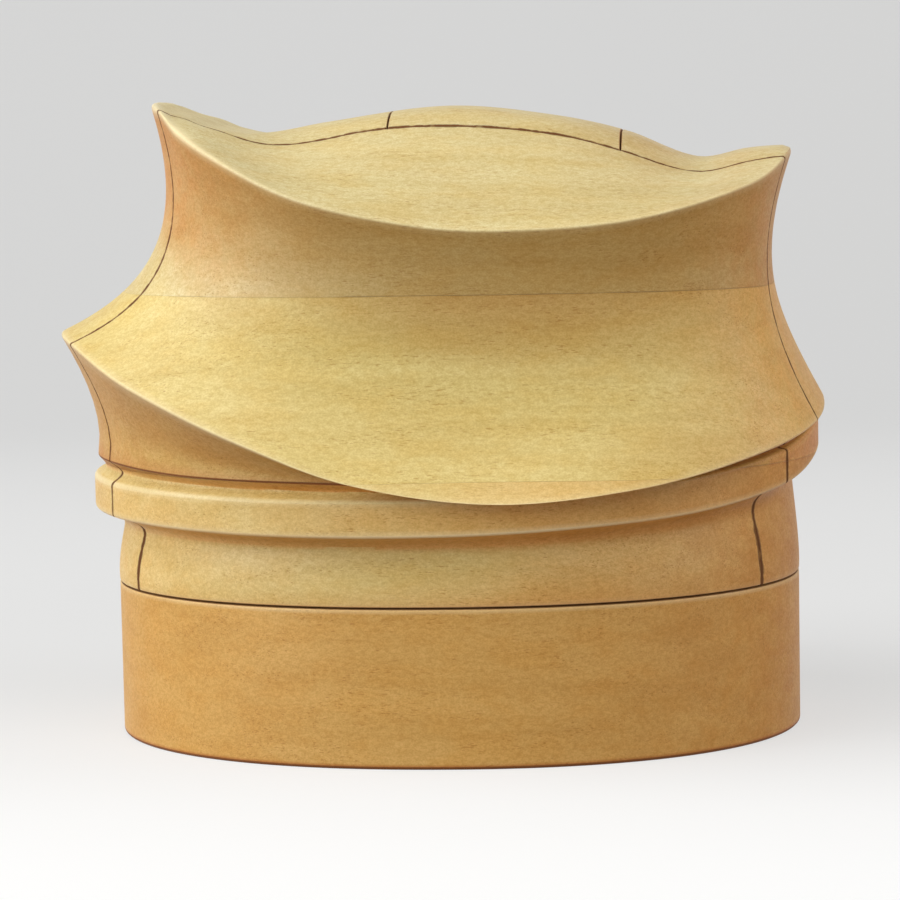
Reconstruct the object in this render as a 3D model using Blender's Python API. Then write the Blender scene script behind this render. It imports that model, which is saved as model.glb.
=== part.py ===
"""Carved timber hat block: an oval plinth under a swept crown that is sawn into a five-piece puzzle.

The crown is laid up from three glued boards, carved, and then sawn by two long cuts and two short
ones into a centre key, two end pieces and two side pieces. Hardwood dowels in the plinth locate them.
X runs along the head's long axis, the near side is -Y, and the origin is the centre of the underside.
"""
import math

import bmesh
import bpy

# Plinth and the head oval it shares with the crown's mouth
PLINTH_HEIGHT = 0.0443
HEAD_LEFT = 0.1003
HEAD_RIGHT = 0.0998
HEAD_SIDE = 0.0780
PLINTH_EDGE_ROUND = 0.0008

# Saw cuts, glue joints and running clearance
STRIP_HALF_WIDTH = 0.0400
KEY_CUT_LEFT = -0.0150
KEY_CUT_RIGHT = 0.0500
LOWER_BOARD = 0.0350
MIDDLE_BOARD = 0.0494
GAP = 0.0003

# Locating dowels
DOWEL_RADIUS = 0.0050
DOWEL_IN_PLINTH = 0.0200
DOWEL_IN_CROWN = 0.0120
DOWEL_NOSE = 0.0012
SIDE_DOWEL_SPACING = 0.0900
SIDE_DOWEL_FROM_CUT = 0.0150
END_DOWEL_FROM_CUT = 0.0400

# Mouth of the crown, below the band
BARREL_SWELL = 0.0003
BARREL_HEIGHT = 0.0080
UNDER_BAND_INSET = 0.0018

# Band, its ledge and the groove above it. A triple is for the left tip, the sides and the right tip.
BAND_LEFT = 0.1070
BAND_RIGHT = 0.1057
BAND_SIDE = 0.0850
BAND_HEIGHT = (0.0095, 0.0100, 0.0096)
LEDGE_RISE = (0.0013, 0.0012, 0.0003)
LEDGE_INSET = (0.0018, 0.0018, 0.0006)
GROOVE_DEPTH = (0.0014, 0.0014, 0.0008)

# Neck, between the groove and the lower ridge
NECK_LEFT = 0.1052
NECK_RIGHT = 0.1052
NECK_SIDE = 0.0840

# Lower ridge and upper ridge
LOWER_LEFT = 0.1150
LOWER_RIGHT = 0.1075
LOWER_SIDE = 0.0900
UPPER_LEFT = 0.0862
UPPER_RIGHT = 0.0982
UPPER_SIDE = 0.0790

# How full each oval is at its ends: 2 is an ellipse, and more is squarer
HEAD_FULLNESS = (2.20, 2.15)
BAND_FULLNESS = (2.10, 2.15)
NECK_FULLNESS = (2.30, 2.15)
LOWER_FULLNESS = (2.30, 3.00)
UPPER_FULLNESS = (2.60, 3.60)
COVE_FULLNESS = (3.00, 4.80)

# Sweeps: height above the crown's underside at each turn, in degrees from the left tip to the right tip
UNDER_BAND_SWEEP = ((0, 0.0170), (60, 0.0162), (110, 0.0166), (155, 0.0215), (180, 0.0275))
BAND_SWEEP = ((0, 0.0220), (30, 0.0209), (60, 0.0200), (93, 0.0203), (115, 0.0216), (137, 0.0240),
              (157, 0.0287), (180, 0.0360))
NECK_SWEEP = ((0, 0.0374), (23, 0.0371), (44, 0.0355), (70, 0.0346), (100, 0.0334), (130, 0.0347),
              (157, 0.0396), (180, 0.0467))
LOWER_SWEEP = ((0, 0.0729), (21, 0.0706), (37, 0.0602), (56, 0.0466), (75, 0.0350), (100, 0.0292),
               (123, 0.0326), (144, 0.0411), (160, 0.0466), (180, 0.0499))
UPPER_SWEEP = ((0, 0.1390), (27, 0.1368), (36, 0.1303), (45, 0.1240), (64, 0.1110), (87, 0.1034),
               (105, 0.1019), (125, 0.1042), (145, 0.1132), (158, 0.1198), (180, 0.1214))
FAR_RIM_DROP = ((0, 0.0), (16, 0.0008), (33, 0.0020), (46, 0.0011), (70, 0.0), (180, 0.0))

# Crest: height above the crown's underside, from the left tip (-1) to the right tip (+1)
CREST_SWEEP = ((-1.0, 0.1394), (-0.90, 0.1343), (-0.77, 0.1310), (-0.62, 0.1294), (-0.40, 0.1328),
               (0.0, 0.1363), (0.30, 0.1331), (0.52, 0.1281), (0.73, 0.1202), (0.88, 0.1224), (1.0, 0.1230))

# Pull of the coves at each ridge, inward and along the height, at the left tip, the sides and the right tip
UPPER_PULL_IN = (0.0098, 0.0132, 0.0103)
UPPER_PULL_DOWN = (0.0320, 0.0220, 0.0295)
LOWER_PULL_IN = (0.0318, 0.0220, 0.0162)
LOWER_PULL_UP = (0.0143, 0.0220, 0.0295)
NECK_WAIST_IN = (0.0030, 0.0004, 0.0004)
NECK_WAIST_RISE = (0.0140, 0.0010, 0.0030)

# Crown top: a level strip along the crest, with soft shoulders and sloping flanks, that takes at most
# this share of the top's half width
CREST_HALF_WIDTH = ((-1.0, 0.0500), (-0.80, 0.0450), (-0.55, 0.0300), (-0.25, 0.0325), (0.0, 0.0325),
                    (0.35, 0.0325), (0.73, 0.0245), (1.0, 0.0310))
STRIP_SHARE = 0.8
SHOULDER_SOFTNESS = 0.0060

# Mesh fineness
AROUND = 72
COVE_ROWS = 10
NECK_ROWS = 4
TOP_RINGS = (0.94, 0.84, 0.73, 0.62, 0.52, 0.42, 0.30, 0.16)
DOWEL_SIDES = 24


def smooth_curve(knots, u):
    """Value at u on a smooth cubic through the knots, level at its first and last knot."""
    last = len(knots) - 1
    u = min(max(u, knots[0][0]), knots[last][0])
    i = 0
    while i < last - 1 and u > knots[i + 1][0]:
        i += 1

    def slope(k):
        if k in (0, last):
            return 0.0
        return (knots[k + 1][1] - knots[k - 1][1]) / (knots[k + 1][0] - knots[k - 1][0])

    (u0, v0), (u1, v1) = knots[i], knots[i + 1]
    span = u1 - u0
    s = (u - u0) / span
    rise = slope(i) * span * (s - 2 * s**2 + s**3) + slope(i + 1) * span * (s**3 - s**2)
    return v0 + (v1 - v0) * (3 * s**2 - 2 * s**3) + rise


def around(angle, values):
    """Mix of a (left, side, right) triple at an angle in plan."""
    along = math.cos(angle)
    left, side, right = values
    end = left if along < 0 else right
    return side + (end - side) * along**2


class Oval:
    """Plan outline with its own reach to the left, right and side, and its own fullness."""

    def __init__(self, left, right, side, fullness):
        self.left = left
        self.right = right
        self.side = side
        self.fullness = fullness

    def reach(self, angle):
        end, power = self.end_at(math.cos(angle))
        return (abs(math.cos(angle) / end)**power + abs(math.sin(angle) / self.side)**power)**(-1 / power)

    def end_at(self, x):
        if x < 0:
            return self.left, self.fullness[0]
        return self.right, self.fullness[1]

    def share(self, x):
        """Place along the oval, from -1 at the left tip to +1 at the right tip."""
        return x / self.end_at(x)[0]

    def half_width(self, x):
        end, power = self.end_at(x)
        return self.side * max(0.0, 1 - min(1.0, abs(x / end))**power)**(1 / power)

    def grown(self, amount):
        return Oval(self.left + amount, self.right + amount, self.side + amount, self.fullness)


HEAD = Oval(HEAD_LEFT, HEAD_RIGHT, HEAD_SIDE, HEAD_FULLNESS)
BAND = Oval(BAND_LEFT, BAND_RIGHT, BAND_SIDE, BAND_FULLNESS)
NECK = Oval(NECK_LEFT, NECK_RIGHT, NECK_SIDE, NECK_FULLNESS)
LOWER = Oval(LOWER_LEFT, LOWER_RIGHT, LOWER_SIDE, LOWER_FULLNESS)
UPPER = Oval(UPPER_LEFT, UPPER_RIGHT, UPPER_SIDE, UPPER_FULLNESS)
CROWN_SEAT = PLINTH_HEIGHT + GAP


def turn_at(angle):
    """Degrees from the left tip, on either side."""
    return math.degrees(math.acos(-math.cos(angle)))


def rail_point(oval, angle, sweep):
    """Radius and height on an oval that follows a sweep."""
    return oval.reach(angle), smooth_curve(sweep, turn_at(angle))


def rim_height(angle):
    """Height of the upper ridge, which is a little lower on the far side near the left tip."""
    turn = turn_at(angle)
    drop = smooth_curve(FAR_RIM_DROP, turn) if math.sin(angle) > 0 else 0.0
    return smooth_curve(UPPER_SWEEP, turn) - drop


def cove_pull(oval, angle, inward, along):
    """Bezier handle of the cove: an inner oval, squarer at its ends, at its own height offset."""
    ins = [oval.left - inward[0], oval.right - inward[2], oval.side - inward[1]]
    return Oval(*ins, COVE_FULLNESS).reach(angle), around(angle, along)


def section(angle):
    """Carved section at one angle in plan, from the mouth up to the upper ridge: (radius, height)."""
    head = HEAD.reach(angle)
    under = rail_point(HEAD.grown(-UNDER_BAND_INSET), angle, UNDER_BAND_SWEEP)
    band = rail_point(BAND, angle, BAND_SWEEP)
    band_top = (band[0], band[1] + around(angle, BAND_HEIGHT))
    ledge = (band[0] - around(angle, LEDGE_INSET), band_top[1] + around(angle, LEDGE_RISE))
    neck = rail_point(NECK, angle, NECK_SWEEP)
    groove = (min(ledge[0], neck[0]) - around(angle, GROOVE_DEPTH), (ledge[1] + neck[1]) / 2)
    lower = rail_point(LOWER, angle, LOWER_SWEEP)
    upper = UPPER.reach(angle), rim_height(angle)
    points = [(head, 0.0), (head + BARREL_SWELL, BARREL_HEIGHT), under, band, band_top, ledge, groove]

    waist = (neck[0] - around(angle, NECK_WAIST_IN), neck[1] + around(angle, NECK_WAIST_RISE))
    for row in range(NECK_ROWS):
        s = row / NECK_ROWS
        mix = ((1 - s)**2, 2 * s * (1 - s), s**2)
        points.append(weighted(mix, (neck, waist, lower)))

    low_handle = cove_pull(LOWER, angle, LOWER_PULL_IN, LOWER_PULL_UP)
    high_handle = cove_pull(UPPER, angle, UPPER_PULL_IN, UPPER_PULL_DOWN)
    handles = (lower, (low_handle[0], lower[1] + low_handle[1]),
               (high_handle[0], upper[1] - high_handle[1]), upper)
    for row in range(COVE_ROWS + 1):
        s = row / COVE_ROWS
        mix = ((1 - s)**3, 3 * s * (1 - s)**2, 3 * s**2 * (1 - s), s**3)
        points.append(weighted(mix, handles))
    return points


def weighted(mix, points):
    return tuple(sum(m * p[axis] for m, p in zip(mix, points)) for axis in (0, 1))


def top_height(x, y):
    """Height of the crown's top: a level strip along the crest that slopes off to the upper ridge."""
    share = UPPER.share(x)
    crest = smooth_curve(CREST_SWEEP, share)
    edge = UPPER.half_width(x)
    ridge = rim_height(math.atan2(math.copysign(edge, y), x))
    if edge < GAP:
        return ridge
    strip = min(smooth_curve(CREST_HALF_WIDTH, share), STRIP_SHARE * edge)

    def ramp(distance):
        return (distance + math.hypot(distance, SHOULDER_SOFTNESS)) / 2

    start = ramp(-strip)
    fall = (ramp(abs(y) - strip) - start) / (ramp(edge - strip) - start)
    return crest - (crest - ridge) * min(1.0, fall)


def crown_mesh():
    """Whole carved crown as one closed mesh, with its underside at height zero."""
    mesh = bmesh.new()
    angles = [2 * math.pi * k / AROUND for k in range(AROUND)]
    sections = [section(angle) for angle in angles]
    rings = []
    for row in range(len(sections[0])):
        ring = []
        for angle, points in zip(angles, sections):
            radius, height = points[row]
            ring.append(mesh.verts.new((radius * math.cos(angle), radius * math.sin(angle), height)))
        rings.append(ring)
    for scale in TOP_RINGS:
        ring = []
        for angle in angles:
            x = scale * UPPER.reach(angle) * math.cos(angle)
            y = scale * UPPER.reach(angle) * math.sin(angle)
            ring.append(mesh.verts.new((x, y, top_height(x, y))))
        rings.append(ring)
    centre = mesh.verts.new((0.0, 0.0, top_height(0.0, 0.0)))

    mesh.faces.new(reversed(rings[0]))
    for lower, upper in zip(rings, rings[1:]):
        for k in range(AROUND):
            after = (k + 1) % AROUND
            mesh.faces.new((lower[k], lower[after], upper[after], upper[k]))
    for k in range(AROUND):
        mesh.faces.new((rings[-1][k], rings[-1][(k + 1) % AROUND], centre))
    bmesh.ops.triangulate(mesh, faces=mesh.faces)
    return finished(mesh, "carved_crown")


def plinth_mesh():
    """Straight oval plinth with its two edges lightly rounded."""
    mesh = bmesh.new()
    angles = [2 * math.pi * k / AROUND for k in range(AROUND)]
    bottom = [mesh.verts.new((HEAD.reach(a) * math.cos(a), HEAD.reach(a) * math.sin(a), 0)) for a in angles]
    base = mesh.faces.new(bottom)
    top = bmesh.ops.extrude_face_region(mesh, geom=[base])["geom"]
    raised = [item for item in top if isinstance(item, bmesh.types.BMVert)]
    bmesh.ops.translate(mesh, verts=raised, vec=(0, 0, PLINTH_HEIGHT))
    rims = [edge for edge in mesh.edges if abs(edge.verts[0].co.z - edge.verts[1].co.z) < GAP]
    bmesh.ops.bevel(mesh, geom=rims, offset=PLINTH_EDGE_ROUND, segments=2, profile=0.5, affect="EDGES")
    return finished(mesh, "oval_plinth")


def box_mesh(low, high):
    mesh = bmesh.new()
    bmesh.ops.create_cube(mesh, size=1.0)
    for vert in mesh.verts:
        vert.co = [low[i] + (vert.co[i] + 0.5) * (high[i] - low[i]) for i in range(3)]
    return finished(mesh, "saw_cell")


def pegs_mesh(centres, profile):
    """Separate round pegs on the given (x, y) centres, turned to the same (radius, height) profile."""
    mesh = bmesh.new()
    turns = [2 * math.pi * k / DOWEL_SIDES for k in range(DOWEL_SIDES)]
    for x, y in centres:
        rings = [[mesh.verts.new((x + radius * math.cos(turn), y + radius * math.sin(turn), height))
                  for turn in turns] for radius, height in profile]
        mesh.faces.new(reversed(rings[0]))
        mesh.faces.new(rings[-1])
        for lower, upper in zip(rings, rings[1:]):
            for k in range(DOWEL_SIDES):
                after = (k + 1) % DOWEL_SIDES
                mesh.faces.new((lower[k], lower[after], upper[after], upper[k]))
    return finished(mesh, "pegs")


def holes_mesh(centres, low, high):
    radius = DOWEL_RADIUS + GAP
    return pegs_mesh(centres, [(radius, low), (radius, high)])


def finished(mesh, name):
    bmesh.ops.recalc_face_normals(mesh, faces=mesh.faces)
    data = bpy.data.meshes.new(name)
    mesh.to_mesh(data)
    mesh.free()
    data.shade_smooth()
    data.set_sharp_from_angle(angle=math.radians(35))
    return data


def timber(name, colour, roughness):
    material = bpy.data.materials.new(name)
    material.use_nodes = True
    shader = material.node_tree.nodes["Principled BSDF"]
    shader.inputs["Base Color"].default_value = (*colour, 1.0)
    shader.inputs["Roughness"].default_value = roughness
    shader.inputs["Metallic"].default_value = 0.0
    return material


def place(name, data, location=(0, 0, 0), material=None, parent=None):
    item = bpy.data.objects.new(name, data)
    bpy.context.scene.collection.objects.link(item)
    item.parent = parent
    item.location = location
    if material:
        item.data.materials.append(material)
    return item


def cutter(name, data):
    item = place(name, data)
    item.hide_render = True
    item.display_type = "WIRE"
    return item


def cut(item, tool, operation):
    modifier = item.modifiers.new(tool.name, "BOOLEAN")
    modifier.operation = operation
    modifier.solver = "EXACT"
    modifier.object = tool


def build_plinth(dowel_centres):
    plinth = place("base_plinth", plinth_mesh(), material=timber("plinth_timber", (0.50, 0.29, 0.10), 0.42))
    floor = PLINTH_HEIGHT - DOWEL_IN_PLINTH - GAP
    holes = holes_mesh(dowel_centres, floor, PLINTH_HEIGHT + GAP)
    cut(plinth, cutter("plinth_dowel_holes", holes), "DIFFERENCE")


def build_dowel(name, centre, material):
    low = PLINTH_HEIGHT - DOWEL_IN_PLINTH
    high = CROWN_SEAT + DOWEL_IN_CROWN
    nose = DOWEL_RADIUS - DOWEL_NOSE
    profile = [(nose, low), (DOWEL_RADIUS, low + DOWEL_NOSE), (DOWEL_RADIUS, high - DOWEL_NOSE), (nose, high)]
    place(name, pegs_mesh([centre], profile), material=material)


def build_piece(name, x_range, y_range, dowels):
    """One puzzle piece: three glued boards that share its saw cuts and lift off its dowels together."""
    centre = [sum(dowel[axis] for dowel in dowels) / len(dowels) for axis in (0, 1)]
    carrier = place(name + "_lift", None, location=(*centre, CROWN_SEAT))
    seat = (-centre[0], -centre[1], 0)
    for board, low, high in BOARDS:
        cell = box_mesh((x_range[0], y_range[0], CROWN_SEAT + low), (x_range[1], y_range[1], CROWN_SEAT + high))
        item = place(f"{name}_{board}_board", crown_mesh(), seat, BOARD_TIMBER[board], carrier)
        cut(item, cutter(f"saw_{name}_{board}", cell), "INTERSECT")
        if board == "lower":
            holes = holes_mesh(dowels, PLINTH_HEIGHT, CROWN_SEAT + DOWEL_IN_CROWN + GAP)
            cut(item, cutter(f"dowel_holes_{name}", holes), "DIFFERENCE")


for old in list(bpy.data.objects):
    bpy.data.objects.remove(old, do_unlink=True)

OUTSIDE = 2 * max(HEAD_LEFT, LOWER_LEFT, LOWER_RIGHT, LOWER_SIDE)
HALF_GAP = GAP / 2
GLUE_LOW = LOWER_BOARD
GLUE_HIGH = LOWER_BOARD + MIDDLE_BOARD
BOARDS = (
    ("lower", -HALF_GAP, GLUE_LOW - HALF_GAP),
    ("middle", GLUE_LOW + HALF_GAP, GLUE_HIGH - HALF_GAP),
    ("upper", GLUE_HIGH + HALF_GAP, OUTSIDE),
)
BOARD_TIMBER = {
    "lower": timber("lower_board_timber", (0.56, 0.34, 0.12), 0.40),
    "middle": timber("middle_board_timber", (0.64, 0.47, 0.18), 0.38),
    "upper": timber("upper_board_timber", (0.62, 0.44, 0.17), 0.38),
}
DOWEL_TIMBER = timber("dowel_timber", (0.58, 0.42, 0.22), 0.55)

SAW = STRIP_HALF_WIDTH
SIDE_DOWEL_Y = SAW + SIDE_DOWEL_FROM_CUT
SIDE_X = (-SIDE_DOWEL_SPACING / 2, SIDE_DOWEL_SPACING / 2)
PIECES = (
    ("near_side", (-OUTSIDE, OUTSIDE), (-OUTSIDE, -SAW - HALF_GAP), [(x, -SIDE_DOWEL_Y) for x in SIDE_X]),
    ("far_side", (-OUTSIDE, OUTSIDE), (SAW + HALF_GAP, OUTSIDE), [(x, SIDE_DOWEL_Y) for x in SIDE_X]),
    ("left_end", (-OUTSIDE, KEY_CUT_LEFT - HALF_GAP), (-SAW + HALF_GAP, SAW - HALF_GAP),
     [(KEY_CUT_LEFT - END_DOWEL_FROM_CUT, 0.0)]),
    ("centre_key", (KEY_CUT_LEFT + HALF_GAP, KEY_CUT_RIGHT - HALF_GAP), (-SAW + HALF_GAP, SAW - HALF_GAP),
     [((KEY_CUT_LEFT + KEY_CUT_RIGHT) / 2, 0.0)]),
    ("right_end", (KEY_CUT_RIGHT + HALF_GAP, OUTSIDE), (-SAW + HALF_GAP, SAW - HALF_GAP),
     [((KEY_CUT_RIGHT + HEAD_RIGHT) / 2, 0.0)]),
)

build_plinth([centre for piece in PIECES for centre in piece[3]])
for piece_name, x_span, y_span, dowel_centres in PIECES:
    build_piece(piece_name, x_span, y_span, dowel_centres)
    for side, dowel_centre in zip(("left", "right"), dowel_centres):
        dowel_name = f"{piece_name}_{side}_dowel" if len(dowel_centres) > 1 else f"{piece_name}_dowel"
        build_dowel(dowel_name, dowel_centre, DOWEL_TIMBER)
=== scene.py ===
"""Looks of the carved timber hat block: its boards, plinth and dowels, their timber, and a soft studio.

Lengths are in metres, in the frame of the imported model. X runs along the head's long axis, the near side
is -Y, and heights on the crown are measured from its underside. Where three values stand together, they
are for the left tip, the sides and the right tip.
"""
import math

import bmesh
import bpy
import numpy as np
from mathutils import Matrix, Vector


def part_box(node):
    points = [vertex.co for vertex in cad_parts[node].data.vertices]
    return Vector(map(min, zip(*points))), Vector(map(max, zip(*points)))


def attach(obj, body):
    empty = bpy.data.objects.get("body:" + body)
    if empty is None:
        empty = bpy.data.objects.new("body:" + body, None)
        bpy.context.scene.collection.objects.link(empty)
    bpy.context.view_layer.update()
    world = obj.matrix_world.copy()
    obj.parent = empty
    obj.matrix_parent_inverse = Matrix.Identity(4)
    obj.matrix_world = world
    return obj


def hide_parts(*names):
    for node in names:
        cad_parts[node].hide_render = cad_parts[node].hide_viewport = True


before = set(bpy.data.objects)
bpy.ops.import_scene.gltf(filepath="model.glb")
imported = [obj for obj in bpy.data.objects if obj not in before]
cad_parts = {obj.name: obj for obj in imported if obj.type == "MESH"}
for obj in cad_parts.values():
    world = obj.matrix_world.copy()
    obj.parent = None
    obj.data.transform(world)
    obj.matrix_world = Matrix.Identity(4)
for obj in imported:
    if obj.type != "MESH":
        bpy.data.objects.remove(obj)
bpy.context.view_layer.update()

PIECES = ("near_side", "far_side", "left_end", "centre_key", "right_end")
BOARDS = ("lower", "middle", "upper")
DOWELS = sorted(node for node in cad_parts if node.endswith("_dowel"))
X, Y, Z = range(3)


def between(first, second, axis):
    """Middle of the gap between one node's high face and another's low face."""
    return (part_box(first)[1][axis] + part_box(second)[0][axis]) / 2


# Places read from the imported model
PLINTH_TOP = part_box("base_plinth")[1].z
CROWN_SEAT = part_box("centre_key_lower_board")[0].z
SEAT_GAP = between("base_plinth", "centre_key_lower_board", Z)
CUTS_X = (between("left_end_upper_board", "centre_key_upper_board", X),
          between("centre_key_upper_board", "right_end_upper_board", X))
CUTS_Y = (between("near_side_lower_board", "centre_key_lower_board", Y),
          between("centre_key_lower_board", "far_side_lower_board", Y))
GLUE_PLANES = (between("centre_key_lower_board", "centre_key_middle_board", Z),
               between("centre_key_middle_board", "centre_key_upper_board", Z))
DOWEL_LOW, DOWEL_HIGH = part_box(DOWELS[0])
DOWEL_RADIUS = (DOWEL_HIGH.x - DOWEL_LOW.x) / 2
DOWEL_PLAY = CROWN_SEAT - PLINTH_TOP
DOWEL_BORE = DOWEL_RADIUS + DOWEL_PLAY
DOWEL_NOSE = 0.0012

# The head oval, which the plinth shares with the crown's mouth
HEAD_LEFT = 0.1003
HEAD_RIGHT = 0.0998
HEAD_SIDE = 0.0780

# Mouth of the crown, below the band
UNDERSIDE_SHARE = 0.9
BARREL_SWELL = 0.0003
BARREL_HEIGHT = 0.0080
UNDER_BAND_INSET = 0.0018
MOUTH_SHOULDER = (0.0004, 0.0010)
MOUTH_TURN_OUT = 0.0016

# Band and the hollow above it, which starts from the band's face but never far outside the neck
BAND_LEFT = 0.1070
BAND_RIGHT = 0.1057
BAND_SIDE = 0.0850
BAND_HEIGHT = (0.0095, 0.0100, 0.0096)
HOLLOW_CURL = 0.30
MOST_PAST_NECK = 0.0005

# Neck, between the hollow and the lower ridge
NECK_LEFT = 0.1052
NECK_RIGHT = 0.1052
NECK_SIDE = 0.0840
NECK_WAIST_IN = (0.0030, 0.0004, 0.0004)
NECK_WAIST_RISE = (0.0140, 0.0010, 0.0030)

# Lower ridge and upper ridge
LOWER_LEFT = 0.1150
LOWER_RIGHT = 0.1075
LOWER_SIDE = 0.0900
UPPER_LEFT = 0.0862
UPPER_RIGHT = 0.0982
UPPER_SIDE = 0.0790

# Pull of the coves at each ridge
UPPER_PULL_IN = (0.0098, 0.0132, 0.0103)
UPPER_PULL_DOWN = (0.0320, 0.0220, 0.0295)
LOWER_PULL_IN = (0.0318, 0.0220, 0.0162)
LOWER_PULL_UP = (0.0143, 0.0220, 0.0295)

# How full each oval is at its ends, left and right: 2 is an ellipse, and more is squarer
HEAD_FULLNESS = (2.20, 2.15)
BAND_FULLNESS = (2.10, 2.15)
NECK_FULLNESS = (2.30, 2.15)
LOWER_FULLNESS = (2.30, 3.00)
UPPER_FULLNESS = (2.60, 3.60)
COVE_FULLNESS = (3.00, 4.80)

# Sweeps: height at each turn, in degrees from the left tip to the right tip
UNDER_BAND_SWEEP = ((0, 0.0170), (60, 0.0162), (110, 0.0166), (155, 0.0215), (180, 0.0275))
BAND_SWEEP = ((0, 0.0220), (30, 0.0209), (60, 0.0200), (93, 0.0203), (115, 0.0216), (137, 0.0240),
              (157, 0.0287), (180, 0.0360))
NECK_SWEEP = ((0, 0.0374), (23, 0.0371), (44, 0.0355), (70, 0.0346), (100, 0.0334), (130, 0.0347),
              (157, 0.0396), (180, 0.0467))
LOWER_SWEEP = ((0, 0.0729), (21, 0.0706), (37, 0.0602), (56, 0.0466), (75, 0.0350), (100, 0.0292),
               (123, 0.0326), (144, 0.0411), (160, 0.0466), (180, 0.0499))
UPPER_SWEEP = ((0, 0.1392), (27, 0.1369), (36, 0.1303), (45, 0.1240), (64, 0.1110), (87, 0.1034),
               (105, 0.1019), (125, 0.1042), (145, 0.1132), (158, 0.1198), (180, 0.1214))

# How far the upper ridge lies lower on the far side, and the hollow's depth, at each turn
FAR_RIM_DROP = ((0, 0.0), (16, 0.0036), (33, 0.0037), (46, 0.0028), (70, 0.0), (180, 0.0))
HOLLOW_DEPTH = ((0, 0.0027), (45, 0.0028), (90, 0.0030), (150, 0.0022), (164, 0.0016), (180, 0.0006))

# Crest of the top, from the left tip (-1) to the right tip (+1), and the level strip along it
CREST_SWEEP = ((-1.0, 0.1394), (-0.90, 0.1359), (-0.84, 0.1344), (-0.77, 0.1317), (-0.62, 0.1295),
               (-0.40, 0.1323), (0.0, 0.1362), (0.30, 0.1331), (0.52, 0.1281), (0.73, 0.1202),
               (0.88, 0.1224), (1.0, 0.1230))
CREST_HALF_WIDTH = ((-1.0, 0.0532), (-0.80, 0.0480), (-0.55, 0.0278), (-0.25, 0.0325), (0.0, 0.0325),
                    (0.35, 0.0325), (0.73, 0.0245), (1.0, 0.0310))
STRIP_SHARE = 0.8
SHOULDER_SOFTNESS = 0.0060
LEAST_HALF_WIDTH = 0.0001

# Easing of the carved edges: how far each rounding reaches back from its corner, and how rubbed it is,
# which lightens it partly as wear and partly as a painted highlight; below zero, it is darkened as painted
# shade
EDGES = (
    ((0.0006, 0.0006, 0.0006), (0.3, 0.3, 0.2)),     # foot
    ((0.0009, 0.0008, 0.0009), (0.5, 0.9, 0.3)),     # band, below
    # Band, above: rubbed with a painted highlight at the left and sides, darkened as painted shade at the
    # right tip
    ((0.0010, 0.0008, 0.0009), (0.8, 0.4, -0.7)),    # band, above
    # Crease: darkened all round as painted shade
    ((0.0005, 0.0005, 0.0005), (-1.0, -1.0, -0.9)),  # crease where the hollow meets the neck
    ((0.0009, 0.0008, 0.0011), (0.8, 0.5, 0.3)),     # lower ridge
    ((0.0028, 0.0008, 0.0010), (1.0, 0.3, 0.5)),     # upper ridge
)
MOST_EASED = 0.45

# Painted shade above the lower glue line, on the band's face (stretch 2 of the section, counted from 0 at
# the underside) and in the hollow (3), where the lower ridge overhangs them
SHADED_STRETCHES = {2: (0.0, 0.0, -0.70), 3: (-0.60, -0.60, -0.80)}

# Other edges
PLINTH_EDGE = 0.0008
# The plinth's top edge is rubbed with a painted highlight, and its foot is darkened as a painted contact
# shadow
PLINTH_TOP_RUB_AND_HIGHLIGHT = 0.3
PLINTH_FOOT_PAINTED_SHADOW = -1.0
SAWN_EDGE = 0.00030
GLUE_LINE = 0.00004
SHARP_CORNER = 32
# Name of the vertex value on the carved edges: above zero rubbed with a painted highlight, below zero
# painted shade
EDGE_MARK_ATTRIBUTE = "wear_and_painted_light"

# Fineness of the visible meshes
AROUND = 384
CORNER_STEPS = 5
WALL_STEPS = 8
MOUTH_STEPS = 24
HOLLOW_STEPS = 18
COVE_STEPS = 44
TOP_STEPS = 46
DOWEL_SIDES = 64
PLAN_ANGLES = np.arange(AROUND) * 2 * math.pi / AROUND

# Points on each curve of the section before it is resampled
MOUTH_POINTS = 40
HOLLOW_POINTS = 40
THROAT_POINTS = 60
COVE_POINTS = 120
TOP_POINTS = 160

# Faces with more sides than a wall's, or with a normal this close to an axis, are shaded flat
WALL_SIDES = 5
LEVEL = 0.999999

# Tolerances of the cuts, and reserves past what they cut
WELD = 1e-7
AT_CUT = 0.001
BORE_OVERSHOOT = 0.001
ABOVE_ALL = 1.0
BOARD_HEIGHTS = (
    ("lower", 0.0, GLUE_PLANES[0] - GLUE_LINE / 2),
    ("middle", GLUE_PLANES[0] + GLUE_LINE / 2, GLUE_PLANES[1] - GLUE_LINE / 2),
    ("upper", GLUE_PLANES[1] + GLUE_LINE / 2, ABOVE_ALL),
)


# Curves and outlines

def smooth_curve(knots, u):
    """Values at u on a smooth cubic through the knots, level at its first and last knot."""
    at, value = np.array(knots).T
    slope = np.zeros(len(at))
    slope[1:-1] = (value[2:] - value[:-2]) / (at[2:] - at[:-2])
    u = np.clip(u, at[0], at[-1])
    i = np.clip(np.searchsorted(at, u) - 1, 0, len(at) - 2)
    span = at[i + 1] - at[i]
    s = (u - at[i]) / span
    rise = slope[i] * span * (s - 2 * s**2 + s**3) + slope[i + 1] * span * (s**3 - s**2)
    return value[i] + (value[i + 1] - value[i]) * (3 * s**2 - 2 * s**3) + rise


def around(angle, values):
    """Mix of a (left, side, right) triple at each angle in plan."""
    left, side, right = values
    end = np.where(np.cos(angle) < 0, left, right)
    return side + (end - side) * np.cos(angle)**2


def quarter_turn(steps):
    """Angles from 0 to a right angle."""
    return [math.pi / 2 * step / steps for step in range(steps + 1)]


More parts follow.
